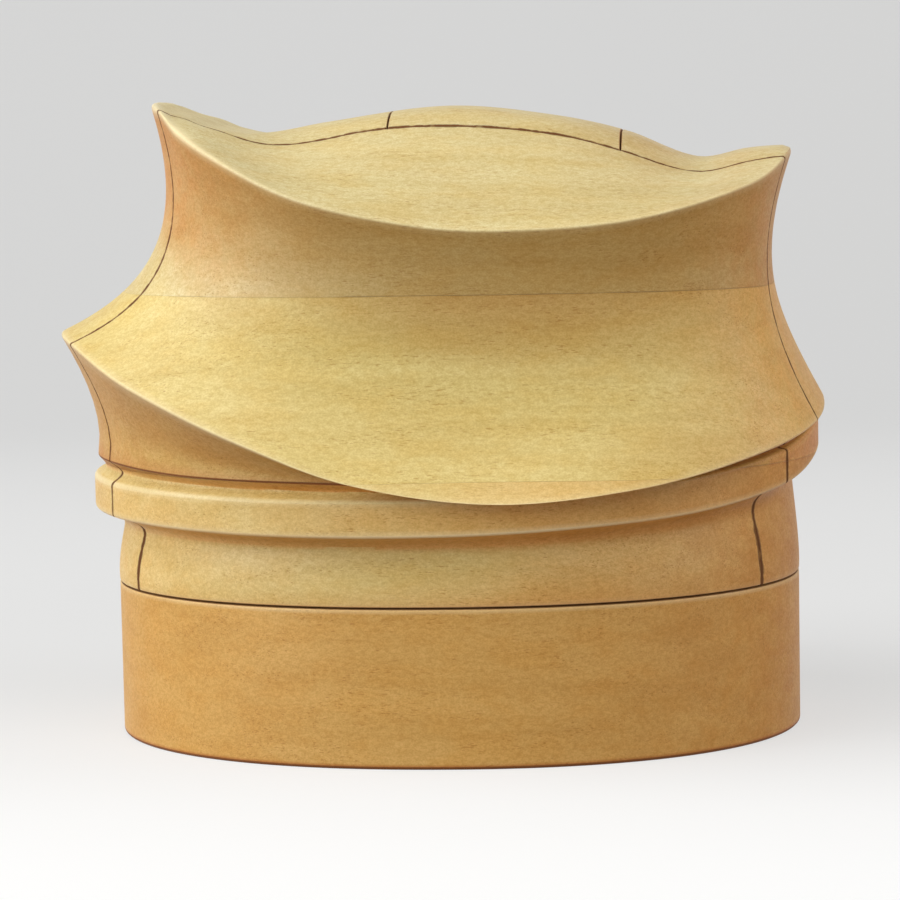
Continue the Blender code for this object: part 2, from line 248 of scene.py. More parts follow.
class Oval:
    """Plan outline with its own reach to the left, right and side, and its own fullness."""

    def __init__(self, left, right, side, fullness):
        self.left = left
        self.right = right
        self.side = side
        self.fullness = fullness

    def end_at(self, x):
        """Reach and fullness of the end that x belongs to."""
        end = np.where(x < 0, self.left, self.right)
        power = np.where(x < 0, *self.fullness)
        return end, power

    def reach(self, angle):
        """Radius at an angle in plan."""
        end, power = self.end_at(np.cos(angle))
        along = np.abs(np.cos(angle) / end)**power
        across = np.abs(np.sin(angle) / self.side)**power
        return (along + across)**(-1 / power)

    def half_width(self, x):
        end, power = self.end_at(x)
        return self.side * (1 - np.minimum(1, np.abs(x / end))**power)**(1 / power)

    def grown(self, amount):
        return Oval(self.left + amount, self.right + amount, self.side + amount, self.fullness)


HEAD = Oval(HEAD_LEFT, HEAD_RIGHT, HEAD_SIDE, HEAD_FULLNESS)
BAND = Oval(BAND_LEFT, BAND_RIGHT, BAND_SIDE, BAND_FULLNESS)
NECK = Oval(NECK_LEFT, NECK_RIGHT, NECK_SIDE, NECK_FULLNESS)
LOWER = Oval(LOWER_LEFT, LOWER_RIGHT, LOWER_SIDE, LOWER_FULLNESS)
UPPER = Oval(UPPER_LEFT, UPPER_RIGHT, UPPER_SIDE, UPPER_FULLNESS)


def turn_at(angle):
    """Degrees from the left tip, on either side."""
    return np.degrees(np.arccos(np.clip(-np.cos(angle), -1, 1)))


def rail(oval, angle, sweep):
    """(radius, height) pairs along an oval that follows a sweep."""
    return np.stack([oval.reach(angle), smooth_curve(sweep, turn_at(angle))], axis=-1)


def raised(points, outward, upward):
    """(radius, height) pairs moved outward and upward."""
    return points + np.stack([outward + 0 * points[:, 0], upward + 0 * points[:, 1]], axis=-1)


def rim_height(angle):
    """Height of the upper ridge, which is a little lower on the far side near the left tip."""
    drop = np.where(np.sin(angle) > 0, smooth_curve(FAR_RIM_DROP, turn_at(angle)), 0.0)
    return smooth_curve(UPPER_SWEEP, turn_at(angle)) - drop


def bezier(controls, count):
    """Points of one Bezier curve per angle, from control points of the same shape."""
    s = np.linspace(0, 1, count)[None, :, None]
    degree = len(controls) - 1
    return sum(math.comb(degree, k) * s**k * (1 - s)**(degree - k) * control[:, None, :]
               for k, control in enumerate(controls))


def trimmed(stretch, start, end, count):
    """A stretch resampled evenly, with its two ends cut back by a length."""
    out = np.empty((len(stretch), count, 2))
    for row, points in enumerate(stretch):
        length = np.concatenate([[0], np.cumsum(np.hypot(*np.diff(points, axis=0).T))])
        most = MOST_EASED * length[-1]
        at = np.linspace(min(start[row], most), length[-1] - min(end[row], most), count)
        out[row, :, 0] = np.interp(at, length, points[:, 0])
        out[row, :, 1] = np.interp(at, length, points[:, 1])
    return out


# Sections of the crown

def top_height(x, y):
    """Height of the crown's top: a level strip along the crest that slopes off to the upper ridge."""
    share = x / UPPER.end_at(x)[0]
    crest = smooth_curve(CREST_SWEEP, share)
    edge = np.maximum(UPPER.half_width(x), LEAST_HALF_WIDTH)
    ridge = rim_height(np.arctan2(np.copysign(edge, y), x))
    strip = np.minimum(smooth_curve(CREST_HALF_WIDTH, share), STRIP_SHARE * edge)

    def ramp(distance):
        return (distance + np.hypot(distance, SHOULDER_SOFTNESS)) / 2

    start = ramp(-strip)
    fall = (ramp(np.abs(y) - strip) - start) / (ramp(edge - strip) - start)
    return crest - (crest - ridge) * np.clip(fall, 0, 1)


def mouth_stretch(angle, foot, band):
    """Barrel above the foot, drawn in under the band and out again to the band's lower edge."""
    under = rail(HEAD.grown(-UNDER_BAND_INSET), angle, UNDER_BAND_SWEEP)
    barrel = raised(foot, 2 * BARREL_SWELL, BARREL_HEIGHT)
    shoulder = under - MOUTH_SHOULDER
    turn_out = under * [1, 0] + band * [0, 1] - [0, MOUTH_TURN_OUT]
    return np.concatenate([bezier([foot, barrel, shoulder, under], MOUTH_POINTS),
                           bezier([under, turn_out, band], MOUTH_POINTS)[:, 1:]], axis=1)


def hollow_stretch(angle, band, band_top, neck):
    """Hollow that curls in from the top of the band to its deepest points, and out to the neck."""
    outside = np.minimum(band[:, 0], neck[:, 0] + MOST_PAST_NECK)
    deepest = np.stack([outside - smooth_curve(HOLLOW_DEPTH, turn_at(angle)),
                        (band_top[:, 1] + neck[:, 1]) / 2], axis=-1)
    curl_down = deepest + (band_top - deepest) * [0, HOLLOW_CURL]
    curl_up = deepest + (neck - deepest) * [0, HOLLOW_CURL]
    return np.concatenate([bezier([band_top, curl_down, deepest], HOLLOW_POINTS),
                           bezier([deepest, curl_up, neck], HOLLOW_POINTS)[:, 1:]], axis=1)


def cove_stretch(angle, lower, upper):
    """Cove between the two ridges, led by a handle at each."""
    def handle(oval, inward, tip, along):
        left, side, right = inward
        pulled = Oval(oval.left - left, oval.right - right, oval.side - side, COVE_FULLNESS)
        return np.stack([pulled.reach(angle), tip[:, 1] + around(angle, along)], axis=-1)

    down = tuple(-value for value in UPPER_PULL_DOWN)
    return bezier([lower, handle(LOWER, LOWER_PULL_IN, lower, LOWER_PULL_UP),
                   handle(UPPER, UPPER_PULL_IN, upper, down), upper], COVE_POINTS)


def top_stretch(angle, upper):
    """Top from the upper ridge to the middle."""
    inward = np.linspace(1, 0, TOP_POINTS)[None, :] * upper[:, :1]
    x = inward * np.cos(angle)[:, None]
    y = inward * np.sin(angle)[:, None]
    top = np.stack([inward, top_height(x, y)], axis=-1)
    top[:, 0] = upper
    return top


def crown_sections(angle):
    """Carved sections at the angles in plan, with their marks of wear, painted highlight and painted
    shade: (radius, height) and a value per point.
    """
    head = HEAD.reach(angle)
    flat = np.zeros_like(head)
    foot = np.stack([head, flat], axis=-1)
    base = np.stack([np.stack([UNDERSIDE_SHARE * head, flat], axis=-1), foot], axis=1)
    band = rail(BAND, angle, BAND_SWEEP)
    band_top = raised(band, 0.0, around(angle, BAND_HEIGHT))
    neck = rail(NECK, angle, NECK_SWEEP)
    waist = raised(neck, -around(angle, NECK_WAIST_IN), around(angle, NECK_WAIST_RISE))
    lower = rail(LOWER, angle, LOWER_SWEEP)
    upper = np.stack([UPPER.reach(angle), rim_height(angle)], axis=-1)
    return joined_stretches(angle, [
        (base, 2),
        (mouth_stretch(angle, foot, band), MOUTH_STEPS),
        (np.stack([band, band_top], axis=1), WALL_STEPS),
        (hollow_stretch(angle, band, band_top, neck), HOLLOW_STEPS),
        (bezier([neck, waist, lower], THROAT_POINTS), WALL_STEPS),
        (cove_stretch(angle, lower, upper), COVE_STEPS),
        (top_stretch(angle, upper), TOP_STEPS),
    ])


def joined_stretches(angle, stretches):
    """One polyline per angle from stretches that meet at corners, with each corner eased.

    The marks are above zero where an edge is rubbed and given a painted highlight, and below zero where
    shade is painted into the hollow and its crease.
    """
    none = np.zeros(len(angle))
    reaches = [none] + [around(angle, reach) for reach, _ in EDGES] + [none]
    pieces = [trimmed(stretch, reaches[k], reaches[k + 1], count)
              for k, (stretch, count) in enumerate(stretches)]
    points = [pieces[0]]
    marks = [np.zeros(pieces[0].shape[:2])]
    for k, (_, rub_and_painted_light) in enumerate(EDGES):
        corner = bezier([pieces[k][:, -1], stretches[k][0][:, -1], pieces[k + 1][:, 0]],
                        CORNER_STEPS + 2)
        points += [corner[:, 1:-1], pieces[k + 1]]
        mark = around(angle, rub_and_painted_light)
        marks[-1][:, -1] = mark / 2
        marks += [np.repeat(mark[:, None], CORNER_STEPS, axis=1), np.zeros(pieces[k + 1].shape[:2])]
        # These stretches are darkened as painted shade above the lower glue line
        if k + 1 in SHADED_STRETCHES:
            above_glue = pieces[k + 1][:, :, 1] + CROWN_SEAT > GLUE_PLANES[0]
            marks[-1][:] = around(angle, SHADED_STRETCHES[k + 1])[:, None] * above_glue
        marks[-1][:, 0] = mark / 2
    return np.concatenate(points, axis=1), np.concatenate(marks, axis=1)


# Meshes

def marked_mesh():
    """Empty mesh whose vertices can carry marks of rubbing with painted highlight, and of painted shade.
    """
    mesh = bmesh.new()
    mesh.verts.layers.float.new(EDGE_MARK_ATTRIBUTE)
    return mesh


def marked_ring(mesh, radii, heights, marks):
    """Closed row of vertices, one at each angle in plan, with their marks of wear, painted highlight and
    painted shade.
    """
    marks_layer = mesh.verts.layers.float[EDGE_MARK_ATTRIBUTE]
    ring = []
    for angle, radius, height, mark in zip(PLAN_ANGLES, radii, heights, marks):
        vert = mesh.verts.new((radius * math.cos(angle), radius * math.sin(angle), height))
        vert[marks_layer] = mark
        ring.append(vert)
    return ring


def walled(mesh, rings):
    """Joins each closed row of vertices to the next by faces."""
    for low, high in zip(rings, rings[1:]):
        for k in range(len(low)):
            after = (k + 1) % len(low)
            mesh.faces.new((low[k], low[after], high[after], high[k]))


def crown_bmesh():
    """Whole carved crown as one closed mesh, standing on its seat."""
    mesh = marked_mesh()
    points, marks = crown_sections(PLAN_ANGLES)
    rings = [marked_ring(mesh, points[:, row, 0], CROWN_SEAT + points[:, row, 1], marks[:, row])
             for row in range(points.shape[1] - 1)]
    centre = mesh.verts.new((0, 0, CROWN_SEAT + points[0, -1, 1]))
    mesh.faces.new(reversed(rings[0]))
    walled(mesh, rings)
    for k in range(AROUND):
        mesh.faces.new((rings[-1][k], rings[-1][(k + 1) % AROUND], centre))
    return mesh


def split(mesh, axis, place, side=0):
    """Cuts the mesh at a plane across an axis, and drops what lies on the given side of it."""
    point = Vector((0, 0, 0))
    point[axis] = place
    normal = Vector((0, 0, 0))
    normal[axis] = side or 1
    geometry = mesh.verts[:] + mesh.edges[:] + mesh.faces[:]
    bmesh.ops.bisect_plane(mesh, geom=geometry, dist=WELD, plane_co=point, plane_no=normal,
                           clear_outer=bool(side))


def sawn(mesh, axis, place, side):
    """Saws off what lies on one side of a plane, and closes the cut by a flat face with eased edges."""
    split(mesh, axis, place - side * SAWN_EDGE)
    split(mesh, axis, place, side)
    mesh.normal_update()
    rim = [edge for edge in mesh.edges if edge.is_boundary]
    for vert in {vert for edge in rim for vert in edge.verts}:
        inward = -vert.normal
        inward[axis] = 0
        vert.co += SAWN_EDGE * inward.normalized()
    bmesh.ops.holes_fill(mesh, edges=rim, sides=0)


def board_between(mesh, low, high):
    """A copy of the part of a piece between two glue planes."""
    part = mesh.copy()
    for place, side in ((low, -1), (high, 1)):
        split(part, Z, place, side)
        rim = [edge for edge in part.edges if edge.is_boundary]
        if rim:
            bmesh.ops.holes_fill(part, edges=rim, sides=0)
    return part


def finished(mesh, name):
    """Mesh data with smooth walls, and flat faces where it is sawn or cut off level."""
    bmesh.ops.recalc_face_normals(mesh, faces=mesh.faces)
    data = bpy.data.meshes.new(name)
    mesh.to_mesh(data)
    mesh.free()
    data.set_sharp_from_angle(angle=math.radians(SHARP_CORNER))
    for face in data.polygons:
        in_plane = max(abs(part) for part in face.normal) >= LEVEL
        face.use_smooth = len(face.vertices) <= WALL_SIDES and not in_plane
    return data


def placed(name, data, material=None):
    """New object in the scene."""
    item = bpy.data.objects.new(name, data)
    bpy.context.scene.collection.objects.link(item)
    if material:
        item.data.materials.append(material)
    return item


def turned(name, centres, profile):
    """Round pegs on the (x, y) centres, turned to one (radius, height) profile."""
    mesh = bmesh.new()
    turns = [2 * math.pi * k / DOWEL_SIDES for k in range(DOWEL_SIDES)]
    for x, y in centres:
        rings = [[mesh.verts.new((x + radius * math.cos(turn), y + radius * math.sin(turn), height))
                  for turn in turns] for radius, height in profile]
        mesh.faces.new(reversed(rings[0]))
        mesh.faces.new(rings[-1])
        walled(mesh, rings)
    return finished(mesh, name)


def bored(item, centres, low, high):
    """Holes for the dowels cut into an object's mesh."""
    cutter = placed("bore", turned("bore", centres, [(DOWEL_BORE, low), (DOWEL_BORE, high)]))
    modifier = item.modifiers.new("bore", "BOOLEAN")
    modifier.operation = "DIFFERENCE"
    modifier.solver = "EXACT"
    modifier.object = cutter
    bpy.context.view_layer.update()
    evaluated = item.evaluated_get(bpy.context.evaluated_depsgraph_get())
    data = bpy.data.meshes.new_from_object(evaluated)
    item.modifiers.clear()
    item.data = data
    bpy.data.objects.remove(cutter, do_unlink=True)


# Procedural materials

class Nodes:
    """Short calls for building the node tree of a material or a world."""

    def __init__(self, owner):
        self.tree = owner.node_tree

    def add(self, kind, **settings):
        node = self.tree.nodes.new(kind)
        for key, value in settings.items():
            setattr(node, key, value)
        return node

    def feed(self, socket, value):
        """Links a socket to a node's output, or sets it to a value."""
        if isinstance(value, bpy.types.NodeSocket):
            self.tree.links.new(value, socket)
        else:
            socket.default_value = value

    def math(self, operation, *values, clamp=False):
        node = self.add("ShaderNodeMath", operation=operation, use_clamp=clamp)
        for socket, value in zip(node.inputs, values):
            self.feed(socket, value)
        return node.outputs[0]

    def plus(self, first, second, clamp=False):
        return self.math("ADD", first, second, clamp=clamp)

    def minus(self, first, second, clamp=False):
        return self.math("SUBTRACT", first, second, clamp=clamp)

    def times(self, first, second, clamp=False):
        return self.math("MULTIPLY", first, second, clamp=clamp)

    def most(self, first, second):
        return self.math("MAXIMUM", first, second)

    def size(self, value):
        return self.math("ABSOLUTE", value)

    def xyz(self, vector):
        node = self.add("ShaderNodeSeparateXYZ")
        self.feed(node.inputs[0], vector)
        return node.outputs[:]

    def noise(self, vector, scale, detail=2.0, roughness=0.5, distortion=0.0):
        """Smooth noise of about 0 to 1 on coordinates stretched by a scale on each axis."""
        mapping = self.add("ShaderNodeMapping", vector_type="POINT")
        self.feed(mapping.inputs["Vector"], vector)
        mapping.inputs["Scale"].default_value = scale
        node = self.add("ShaderNodeTexNoise")
        self.feed(node.inputs["Vector"], mapping.outputs[0])
        node.inputs["Scale"].default_value = 1.0
        node.inputs["Detail"].default_value = detail
        node.inputs["Roughness"].default_value = roughness
        node.inputs["Distortion"].default_value = distortion
        return node.outputs[0]

    def band(self, value, low, high, to_low=0.0, to_high=1.0):
        """Value stepped smoothly from one level to another between two marks."""
        node = self.add("ShaderNodeMapRange", interpolation_type="SMOOTHSTEP")
        for socket, item in zip(node.inputs, (value, low, high, to_low, to_high)):
            self.feed(socket, item)
        return node.outputs[0]

    def line(self, gap, near, far):
        """1 up to a near gap, and 0 from a far one on."""
        return self.band(gap, near, far, 1.0, 0.0)

    def mix(self, factor, first, second, blend="MIX"):
        """Mix of two colours, which are the node's sockets 6 and 7."""
        node = self.add("ShaderNodeMix", data_type="RGBA", blend_type=blend)
        self.feed(node.inputs[0], factor)
        for socket, value in ((node.inputs[6], first), (node.inputs[7], second)):
            self.feed(socket, (*value, 1.0) if isinstance(value, tuple) else value)
        return node.outputs[2]

    def tinted(self, colour, tint, amount):
        """A colour multiplied by a tint as far as the amount says."""
        return self.mix(amount, colour, tint, "MULTIPLY")

    def seen(self):
        """1 on rays that show a surface in the picture, itself or mirrored, and 0 on others."""
        path = self.add("ShaderNodeLightPath").outputs
        mirrored = self.most(path["Is Glossy Ray"], path["Is Transmission Ray"])
        return self.most(path["Is Camera Ray"], mirrored)


# Colours of the timber's figure and marks, painted shade and highlight among them. All but the stain and
# the burnish are multiplied in.
# Dark of the stains at the joints and glue lines, also laid on the hollow's crease as painted shade
STAIN_AND_SHADE = (0.150, 0.055, 0.014)
# Tint of painted shade in the hollow, its crease, the band's face at the right tip and the plinth's foot
SHADE_TINT = (0.76, 0.46, 0.33)
TINGE = (0.97, 0.85, 0.60)
SAWN = (0.72, 0.58, 0.40)
PORE = (0.74, 0.60, 0.42)
FLECK = (0.62, 0.40, 0.24)
SOFT_GRAIN = (0.86, 0.80, 0.66)
# Colour of rubbed edges: partly burnish from wear, partly a painted highlight along the ridges and the
# band's edges
RUB_HIGHLIGHT_COLOUR = (0.94, 0.80, 0.48)

# Noises: their scale along each axis, and how they are drawn
CLOUD = dict(scale=(12, 30, 40), detail=3)
FIBRES = dict(scale=(300, 240, 240), detail=3)
RINGS = dict(scale=(6, 90, 150), detail=3, distortion=0.5)
PATCHES = dict(scale=(60, 130, 150), detail=3, roughness=0.6)
MOTTLE = dict(scale=(480, 1000, 1100), detail=2, roughness=0.6)
SPECKLE = dict(scale=(1900, 2300, 2300), detail=1)
DASHES = dict(scale=(420, 2600, 2600), detail=1)
DASH_ROWS = dict(scale=(26, 150, 190), detail=1)
FLECKS = dict(scale=(330, 2400, 2400), detail=0)
GLUE_BREAKS = dict(scale=(70, 20, 20), detail=2)
RAGGED = dict(scale=(330, 330, 330), detail=3)
SAW_MARKS = dict(scale=(1300, 1300, 45), detail=2)
TOOL_MARKS = dict(scale=(45, 70, 70), detail=2)

# Bands: the two marks between which a mask goes from 0 to 1, or from the third value to the fourth
# Lean from pale at the left to warm at the right, partly painted light, which faces looking down get less
# of
UNDERSIDE_LEAN = (-0.30, -0.05, 0.3, 1.0)
STEEP = (0.35, -0.45)
# Where the left end's up-facing faces are kept pale, as a painted highlight
LEFT_END_LIT = (0.03, -0.03)
LIT_FACING_UP = (0.05, 0.50)
END_FIBRES = (0.3, 0.7, 0.75, 1.0)
LEFT_TO_RIGHT = (-0.06, 0.06)
RING_TINT = (0.35, 0.70, 0.0, 0.55)
PATCH_TINT = (0.38, 0.66, 0.0, 0.40)
MOTTLE_TINT = (0.30, 0.70, 0.0, 0.75)
SPECKLE_TINT = (0.35, 0.65, 0.0, 0.65)
DARK_DASHES = (0.60, 0.70)
FULL_ROWS = (0.44, 0.60)
DARK_FLECKS = (0.80, 0.87)
GLUE_SHOWN = (0.40, 0.62, 0.10, 0.65)
GLUE_SLOPE = (0.50, 0.20)
RAGGEDNESS = (0.35, 0.65, 0.75, 1.25)
WIDER_MOUTH_CUT = (SEAT_GAP + 0.0220, SEAT_GAP + 0.0140, 1.0, 1.45)
ABOVE_SEAT = (SEAT_GAP - 0.0001, SEAT_GAP + 0.0001)
SQUARE_ON = (0.93, 0.99)
SAW_TINT = (0.30, 0.70, 0.0, 0.85)
CREASE = (0.82, 1.0, 0.0, 0.75)
UNEVEN_RUB_AND_HIGHLIGHT = (0.25, 0.70, 0.60, 1.0)
GLOSS = (0.3, 0.7, 0.38, 0.50)

# Layers of the figure that are multiplied in, from coarse to fine: noise, band and colour
FIGURE = (
    (RINGS, RING_TINT, SOFT_GRAIN),
    (PATCHES, PATCH_TINT, TINGE),
    (MOTTLE, MOTTLE_TINT, SOFT_GRAIN),
    (SPECKLE, SPECKLE_TINT, SOFT_GRAIN),
)

# Lines at the joints: the gaps from the joint up to which a line is full, and from which it is gone
GLUE_WIDTH = (0.00010, 0.00040)
LONG_CUT_WIDTH = (0.00030, 0.00075)
KEY_CUT_WIDTH = (0.00015, 0.00045)
KEY_CUT_END = (0.0, 0.0004)
SEAT_WIDTH = (0.00022, 0.00052)
SAWN_FACE_REACH = (0.0010, 0.0011)

# Strengths
NOISE_MIDDLE = 0.5
CLOUD_DRIFT = 0.8
LEAN_REACH = 0.11
END_GRAIN_POWER = 1.3
PORE_STRENGTH = 0.75
FLECK_STRENGTH = 0.60
GLUE_STRENGTH = 0.45
CLEANER_INSIDE = 0.45
RUB_HIGHLIGHT_STRENGTH = 0.80
ROUGHER_END_GRAIN = 0.04
SMOOTHER_RUBBED = 0.10
STAIN_ROUGHNESS = 0.90
TOOLED_HEIGHT = 0.00010
MOTTLE_HEIGHT = 0.000018
PORE_DEPTH = 0.00003
SAW_MARK_HEIGHT = 0.00012

# The same all over the timber
OILED = {"IOR": 1.46, "Specular IOR Level": 0.36, "Coat Weight": 0.06, "Coat Roughness": 0.30}
BUMP = {"Strength": 0.6, "Distance": 1.0}


class Timber(Nodes):
    """Fine-grained oiled timber with its grain along X.

    pale is the colour where the surface faces up, warm where it is steep, the paler up-facing colour being
    painted light; ends are the colours of the end grain, left and right. shift moves the figure, so that
    boards differ, and lean is how much warmer it grows from left to right, partly the timber's tone and
    partly painted light from the lamps on the left.
    """

    def __init__(self, name, pale, warm, ends, shift, lean):
        self.material = bpy.data.materials.new(name)
        self.material.use_nodes = True
        super().__init__(self.material)
        self.place = self.add("ShaderNodeTexCoord").outputs["Object"]
        moved = self.add("ShaderNodeMapping")
        self.feed(moved.inputs["Vector"], self.place)
        moved.inputs["Location"].default_value = shift
        self.grain = moved.outputs[0]
        self.x, self.y, self.z = self.xyz(self.place)
        normal = self.add("ShaderNodeNewGeometry").outputs["Normal"]
        self.facing_x, self.facing_y, self.facing_z = self.xyz(normal)
        self.cloud = self.noise(self.grain, **CLOUD)
        self.mottle = self.noise(self.grain, **MOTTLE)
        self.end_grain = self.math("POWER", self.size(self.facing_x), END_GRAIN_POWER)

        colour = self.ground(pale, warm, ends, lean)
        colour, pores = self.figured(colour)
        colour = self.mix(self.glue_line(), colour, STAIN_AND_SHADE)
        joint_line, sawn_face, seated = self.saw_cuts()
        saw_marks = self.times(sawn_face, self.noise(self.place, **SAW_MARKS))
        colour = self.tinted(colour, SAWN, self.band(saw_marks, *SAW_TINT))
        # Marks of the carved edges: above zero rubbed with a painted highlight, below zero painted shade;
        # none on sawn faces and seats
        edge_light_and_wear = self.add("ShaderNodeAttribute", attribute_name=EDGE_MARK_ATTRIBUTE).outputs["Fac"]
        edge_light_and_wear = self.times(edge_light_and_wear, self.minus(1.0, self.most(sawn_face, seated)))
        # Below zero the marks are painted shade, darkening the hollow, its crease and the plinth's foot
        shade_amount = self.times(edge_light_and_wear, -1.0, clamp=True)
        colour = self.tinted(colour, SHADE_TINT, shade_amount)
        # Rubbed edges, lightened partly as wear and partly as a painted highlight
        rub_and_painted_light = self.times(edge_light_and_wear, self.band(self.cloud, *UNEVEN_RUB_AND_HIGHLIGHT), clamp=True)
        colour = self.mix(self.times(rub_and_painted_light, RUB_HIGHLIGHT_STRENGTH), colour, RUB_HIGHLIGHT_COLOUR)
        # Dark at the joints, and on the hollow's crease as painted shade
        stained_and_shaded = self.most(self.band(shade_amount, *CREASE), joint_line)
        colour = self.mix(stained_and_shaded, colour, STAIN_AND_SHADE)

        shader = self.tree.nodes["Principled BSDF"]
        self.feed(shader.inputs["Base Color"], colour)
        self.feed(shader.inputs["Roughness"], self.roughness(rub_and_painted_light, stained_and_shaded))
        self.feed(shader.inputs["Normal"], self.bump(pores, saw_marks))
        for socket, value in OILED.items():
            shader.inputs[socket].default_value = value

    def ground(self, pale, warm, ends, lean):
        """Colour by slope and place, with end grain at the two ends; paler where faces look up, as painted
        light.
        """
        # Paler to the left and warmer to the right, less so on faces that look down: partly the timber's
        # tone, partly painted light
        leaning = self.times(self.band(self.x, -LEAN_REACH, LEAN_REACH, -lean, lean),
                             self.band(self.facing_z, *UNDERSIDE_LEAN))
        clouded = self.times(self.minus(self.cloud, NOISE_MIDDLE), CLOUD_DRIFT)
        drift = self.plus(clouded, leaning)
        # Up-facing faces take the pale colour and steep ones the warm one: painted light, as faces that
        # look up are lit more
        steep = self.plus(self.band(self.facing_z, *STEEP), drift, clamp=True)
        fibres = self.band(self.noise(self.grain, **FIBRES), *END_FIBRES)
        # On the left end, up-facing faces lose the end grain's colour and stay pale: a painted highlight
        # where the lamps on the left fall
        lit_left_end = self.times(self.band(self.x, *LEFT_END_LIT),
                              self.band(self.facing_z, *LIT_FACING_UP))
        ember = self.times(self.times(self.end_grain, fibres), self.minus(1.0, lit_left_end))
        end_colour = self.mix(self.band(self.x, *LEFT_TO_RIGHT), *ends)
        return self.mix(ember, self.mix(steep, pale, warm), end_colour)

    def figured(self, colour):
        """The colour with the timber's figure, and a mask of its pores."""
        for noise, tint_band, tint in FIGURE:
            figure = self.mottle if noise is MOTTLE else self.noise(self.grain, **noise)
            colour = self.tinted(colour, tint, self.band(figure, *tint_band))
        pores = self.times(self.band(self.noise(self.grain, **DASHES), *DARK_DASHES),
                           self.band(self.noise(self.grain, **DASH_ROWS), *FULL_ROWS), clamp=True)
        colour = self.tinted(colour, PORE, self.times(pores, PORE_STRENGTH))
        flecks = self.band(self.noise(self.grain, **FLECKS), *DARK_FLECKS)
        return self.tinted(colour, FLECK, self.times(flecks, FLECK_STRENGTH)), pores

    def glue_line(self):
        """Mask of the broken glue lines between the boards."""
        lower, upper = (self.line(self.size(self.minus(self.z, height)), *GLUE_WIDTH)
                        for height in GLUE_PLANES)
        shown = self.band(self.noise(self.grain, **GLUE_BREAKS), *GLUE_SHOWN)
        line = self.times(self.times(self.most(lower, upper), shown),
                          self.band(self.facing_z, *GLUE_SLOPE))
        return self.times(line, GLUE_STRENGTH)

    def saw_cuts(self):
        """Masks of the dark lines at the saw cuts and the seat, of the sawn faces, and of the seats."""
        crown = self.band(self.z, *ABOVE_SEAT)
        beyond = self.minus(self.size(self.y), CUTS_Y[1])
        long_gap = self.size(beyond)
        key_gap = self.math("MINIMUM", *(self.size(self.minus(self.x, cut)) for cut in CUTS_X))
        long_face, key_face, seat_face = (self.band(self.size(facing), *SQUARE_ON)
                                          for facing in (self.facing_y, self.facing_x, self.facing_z))

        ragged = self.times(self.band(self.noise(self.place, **RAGGED), *RAGGEDNESS),
                            self.band(self.z, *WIDER_MOUTH_CUT))
        long_cut = self.line(self.math("DIVIDE", long_gap, ragged), *LONG_CUT_WIDTH)
        key_cut = self.times(self.line(key_gap, *KEY_CUT_WIDTH), self.line(beyond, *KEY_CUT_END))
        long_cut = self.minus(long_cut, self.times(long_face, CLEANER_INSIDE), clamp=True)
        key_cut = self.minus(key_cut, self.times(key_face, CLEANER_INSIDE), clamp=True)
        cut_line = self.times(self.most(long_cut, key_cut), crown)
        seat_line = self.line(self.size(self.minus(self.z, SEAT_GAP)), *SEAT_WIDTH)
        seated = self.times(seat_line, seat_face)
        seat_line = self.minus(seat_line, self.times(seated, CLEANER_INSIDE))

        long_sawn = self.times(self.line(long_gap, *SAWN_FACE_REACH), long_face)
        key_sawn = self.times(self.line(key_gap, *SAWN_FACE_REACH), key_face)
        sawn_face = self.times(crown, self.most(long_sawn, key_sawn))
        return self.most(cut_line, seat_line), sawn_face, seated

    def roughness(self, rub_and_painted_light, stained_and_shaded):
        """Roughness, less where the timber is rubbed, and more on end grain, in the dark lines and in the
        crease's painted shade.
        """
        gloss = self.plus(self.band(self.mottle, *GLOSS), self.times(self.end_grain, ROUGHER_END_GRAIN))
        gloss = self.minus(gloss, self.times(rub_and_painted_light, SMOOTHER_RUBBED))
        return self.most(gloss, self.times(stained_and_shaded, STAIN_ROUGHNESS))

    def bump(self, pores, saw_marks):
        """Normal bent by tool marks, mottle, pores and saw marks."""
        height = self.plus(self.times(self.noise(self.grain, **TOOL_MARKS), TOOLED_HEIGHT),
                           self.times(self.mottle, MOTTLE_HEIGHT))
        height = self.minus(height, self.times(pores, PORE_DEPTH))
        height = self.plus(height, self.times(saw_marks, SAW_MARK_HEIGHT))
        node = self.add("ShaderNodeBump")
        for socket, value in BUMP.items():
            node.inputs[socket].default_value = value
        self.feed(node.inputs["Height"], height)
        return node.outputs[0]


TIMBERS = {name: Timber(name + "_timber", *look).material for name, look in {
    "plinth": ((0.80, 0.50, 0.165), (0.71, 0.40, 0.118), ((0.76, 0.43, 0.12), (0.64, 0.29, 0.055)),
               (0.31, 0.12, 0.44), 0.15),
    "lower_board": ((0.82, 0.655, 0.285), (0.82, 0.40, 0.107),
                    ((0.92, 0.64, 0.27), (0.60, 0.265, 0.055)), (0.0, 0.0, 0.0), 0.36),
    "middle_board": ((0.81, 0.665, 0.278), (0.60, 0.345, 0.103),
                     ((0.71, 0.38, 0.11), (0.84, 0.45, 0.125)), (0.57, 0.23, 0.11), 0.25),
    "upper_board": ((0.80, 0.695, 0.380), (0.57, 0.37, 0.122),
                    ((0.70, 0.32, 0.085), (0.61, 0.28, 0.068)), (0.13, 0.41, 0.29), 0.10),
    "dowel": ((0.74, 0.58, 0.36), (0.62, 0.44, 0.24), ((0.60, 0.40, 0.20), (0.60, 0.40, 0.20)),
              (0.71, 0.05, 0.83), 0.0),
}.items()}


# Pieces

def dowel_centre(node):
    low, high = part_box(node)
    return (low.x + high.x) / 2, (low.y + high.y) / 2


